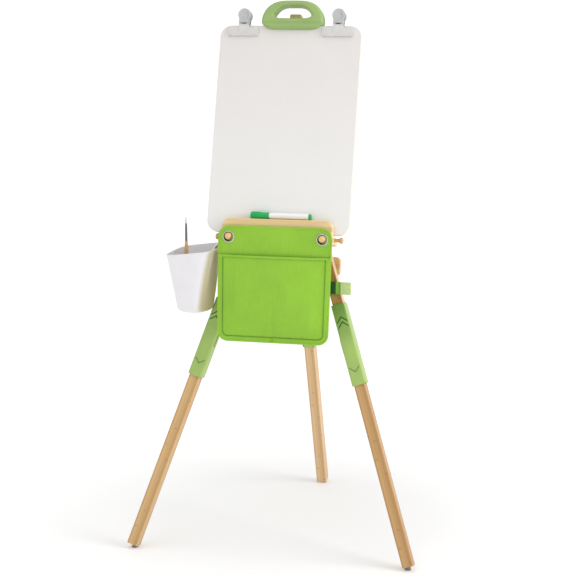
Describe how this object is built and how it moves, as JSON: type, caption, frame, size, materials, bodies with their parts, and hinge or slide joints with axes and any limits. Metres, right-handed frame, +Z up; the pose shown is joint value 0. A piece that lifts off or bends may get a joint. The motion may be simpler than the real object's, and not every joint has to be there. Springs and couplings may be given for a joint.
{
  "type": "kids easel",
  "caption": "Folding bamboo tripod easel for a child: leaning dry-wipe board with paper clips and a green carry handle, marker ledge, canvas pocket pouch, hanging cup and height-adjusting legs.",
  "frame": {"origin": "on the floor under the middle of the easel's outline", "axes": "+Z up, +Y from the board towards the rear leg, +X to the right seen from the board's front"},
  "size_m": [0.6216, 0.5734, 1.1607],
  "materials": {
    "whiteboard": "smooth dry-wipe enamel sheet",
    "bamboo": "laminated bamboo, satin lacquer",
    "green_plastic": "moulded satin green plastic",
    "steel": "plated steel",
    "clip_plastic": "frosted translucent plastic",
    "canvas": "plain woven green canvas, stitched edges",
    "webbing": "green hook-and-loop webbing",
    "cup_plastic": "white moulded plastic, satin",
    "brush_wood": "lacquered turned wood",
    "ferrule_metal": "crimped aluminium",
    "bristle": "pale synthetic bristle",
    "marker_green": "glossy moulded plastic",
    "marker_white": "glossy moulded plastic",
    "foot_rubber": "grey glide"
  },
  "bodies": {
    "easel": {"hub_block": "green_plastic", "hinge_pin": "steel", "whiteboard_sheet": "whiteboard", "board_core": "bamboo", "upper_batten": "bamboo", "lower_batten": "bamboo", "clip_back_jaw_left": "clip_plastic", "clip_pin_left": "steel", "clip_spring_left": "steel", "clip_back_jaw_right": "clip_plastic", "clip_pin_right": "steel", "clip_spring_right": "steel", "spine": "bamboo", "hub_bolt": "steel", "carry_handle": "green_plastic", "handle_screw_left": "steel", "handle_screw_right": "steel", "tray_panel": "bamboo", "tray_shelf": "bamboo", "pouch_peg_left": "bamboo", "side_peg_left": "bamboo", "pouch_peg_right": "bamboo", "side_peg_right": "bamboo", "cross_rail": "bamboo", "rail_screw_left": "steel", "rail_screw_right": "steel", "lower_strut": "bamboo", "sleeve_left": "green_plastic", "upper_leg_left": "bamboo", "sleeve_right": "green_plastic", "upper_leg_right": "bamboo"},
    "rear_leg": {"upper_leg_rear": "bamboo", "sleeve_rear": "green_plastic"},
    "lower_leg_left": {"lower_leg_left": "bamboo", "foot_pad_left": "foot_rubber"},
    "lower_leg_right": {"lower_leg_right": "bamboo", "foot_pad_right": "foot_rubber"},
    "lower_leg_rear": {"lower_leg_rear": "bamboo", "foot_pad_rear": "foot_rubber"},
    "lock_button_left": {"lock_button_left": "green_plastic"},
    "lock_button_right": {"lock_button_right": "green_plastic"},
    "lock_button_rear": {"lock_button_rear": "green_plastic"},
    "clip_jaw_left": {"clip_front_jaw_left": "clip_plastic"},
    "clip_jaw_right": {"clip_front_jaw_right": "clip_plastic"},
    "cup": {"cup": "cup_plastic"},
    "brush": {"brush_handle": "brush_wood", "brush_ferrule": "ferrule_metal", "brush_bristles": "bristle"},
    "marker": {"marker_barrel": "marker_white", "marker_end_plug": "marker_green"},
    "marker_cap": {"marker_cap": "marker_green"},
    "pouch": {"pouch_back": "canvas", "pouch_pocket": "canvas", "grommet_left": "steel", "grommet_right": "steel", "side_strap": "webbing"}
  },
  "joints": [
    {"name": "rear_leg_fold", "type": "hinge", "parent": "easel", "child": "rear_leg", "pos_m": [0, -0.04727, 0.822], "axis": [-1, 0, 0], "range_deg": [0, 32]},
    {"name": "lower_leg_left_slide", "type": "slide", "parent": "easel", "child": "lower_leg_left", "axis": [0.3095, 0.2099, 0.9274], "range_m": [0, 0.075]},
    {"name": "lower_leg_right_slide", "type": "slide", "parent": "easel", "child": "lower_leg_right", "axis": [-0.3095, 0.2099, 0.9274], "range_m": [0, 0.075]},
    {"name": "lower_leg_rear_slide", "type": "slide", "parent": "rear_leg", "child": "lower_leg_rear", "axis": [0, -0.3669, 0.9303], "range_m": [0, 0.075]},
    {"name": "lock_button_left_press", "type": "slide", "parent": "easel", "child": "lock_button_left", "axis": [-0.9509, 0.0683, 0.3019], "range_m": [0, 0.002], "stiffness_N_per_m": 600, "springref_m": -0.003},
    {"name": "lock_button_right_press", "type": "slide", "parent": "easel", "child": "lock_button_right", "axis": [0.9509, 0.0683, 0.3019], "range_m": [0, 0.002], "stiffness_N_per_m": 600, "springref_m": -0.003},
    {"name": "lock_button_rear_press", "type": "slide", "parent": "rear_leg", "child": "lock_button_rear", "axis": [-1, 0, 0], "range_m": [0, 0.002], "stiffness_N_per_m": 600, "springref_m": -0.003},
    {"name": "clip_left_open", "type": "hinge", "parent": "easel", "child": "clip_jaw_left", "pos_m": [-0.102, -0.05964, 1.11239], "axis": [-1, 0, 0], "range_deg": [0, 20], "stiffness_Nm_per_rad": 0.15, "springref_deg": -20.05},
    {"name": "clip_right_open", "type": "hinge", "parent": "easel", "child": "clip_jaw_right", "pos_m": [0.102, -0.05964, 1.11239], "axis": [-1, 0, 0], "range_deg": [0, 20], "stiffness_Nm_per_rad": 0.15, "springref_deg": -20.05},
    {"name": "cup_swing", "type": "hinge", "parent": "easel", "child": "cup", "pos_m": [-0.1145, -0.19212, 0.67188], "axis": [1, 0, 0], "range_deg": [-15, 15]},
    {"name": "brush_lift", "type": "slide", "parent": "cup", "child": "brush", "axis": [0.0471, -0.1612, 0.9858], "range_m": [0, 0.12]},
    {"name": "marker_lift", "type": "slide", "parent": "easel", "child": "marker", "axis": [0, 0.289, 0.9573], "range_m": [0, 0.03]},
    {"name": "marker_cap_pull", "type": "slide", "parent": "marker", "child": "marker_cap", "axis": [-1, 0, 0], "range_m": [0, 0.04]},
    {"name": "pouch_unhook", "type": "slide", "parent": "easel", "child": "pouch", "axis": [0, -0.9573, 0.289], "range_m": [0, 0.022]}
  ]
}
